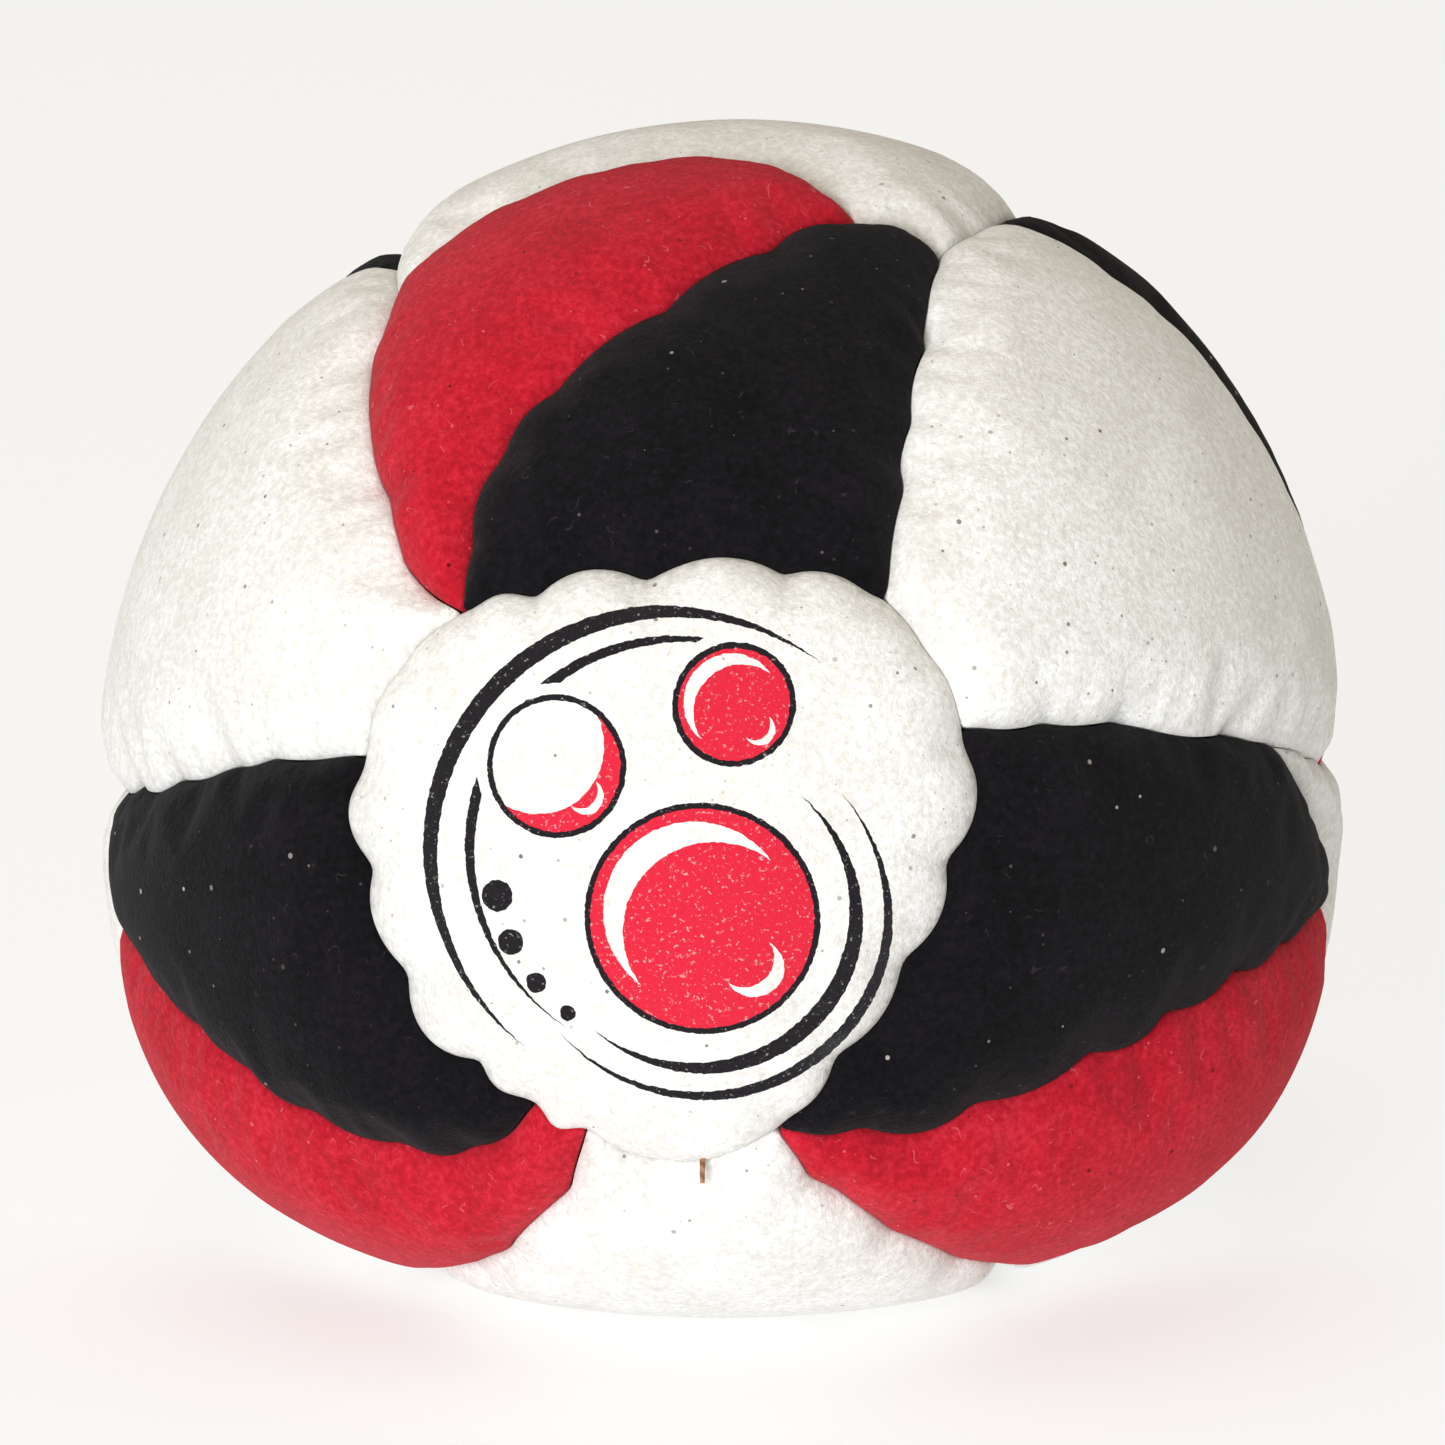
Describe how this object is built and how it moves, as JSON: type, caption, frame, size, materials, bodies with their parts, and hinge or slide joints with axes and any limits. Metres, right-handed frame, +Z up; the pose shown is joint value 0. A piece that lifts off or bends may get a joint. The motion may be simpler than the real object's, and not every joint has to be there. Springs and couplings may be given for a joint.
{
  "type": "juggling ball",
  "caption": "Soft round juggling ball of stitched suede panels in white, black and red, filled with pellets and slumped flat where it rests.",
  "frame": {"origin": "on the surface the ball rests on, under the middle of the ball's bounding box", "axes": "+Z up, the shortest way through the slumped ball; the printed round panel faces -Y; +X is to the right of someone looking at the print"},
  "size_m": [0.0635, 0.064, 0.0576],
  "materials": {
    "white_suede": "napped suede, matt",
    "black_suede": "napped suede, matt",
    "red_suede": "napped suede, matt",
    "thread": "twisted sewing thread",
    "pellets": "loose plastic pellets"
  },
  "bodies": {
    "root": {"print_panel": "white_suede", "right_white_panel": "white_suede", "left_white_panel": "white_suede", "lower_white_panel": "white_suede", "top_black_piece": "black_suede", "top_red_piece": "red_suede", "right_black_piece": "black_suede", "right_red_piece": "red_suede", "left_black_piece": "black_suede", "left_red_piece": "red_suede", "rear_top_white_panel": "white_suede", "rear_right_white_panel": "white_suede", "rear_left_white_panel": "white_suede", "rear_right_black_piece": "black_suede", "rear_right_red_piece": "red_suede", "rear_left_black_piece": "black_suede", "rear_left_red_piece": "red_suede", "rear_low_black_piece": "black_suede", "rear_low_red_piece": "red_suede", "rear_round_panel": "white_suede", "top_square_thread": "thread", "right_square_thread": "thread", "left_square_thread": "thread", "rear_right_square_thread": "thread", "rear_left_square_thread": "thread", "rear_low_square_thread": "thread", "top_split_thread": "thread", "right_split_thread": "thread", "left_split_thread": "thread", "rear_right_split_thread": "thread", "rear_left_split_thread": "thread", "rear_low_split_thread": "thread", "front_right_thread": "thread", "front_low_thread": "thread", "front_left_thread": "thread", "side_thread_1": "thread", "side_thread_2": "thread", "side_thread_3": "thread", "side_thread_4": "thread", "side_thread_5": "thread", "side_thread_6": "thread", "rear_right_thread": "thread", "rear_left_thread": "thread", "rear_top_thread": "thread", "pellet_filling": "pellets"}
  },
  "joints": []
}
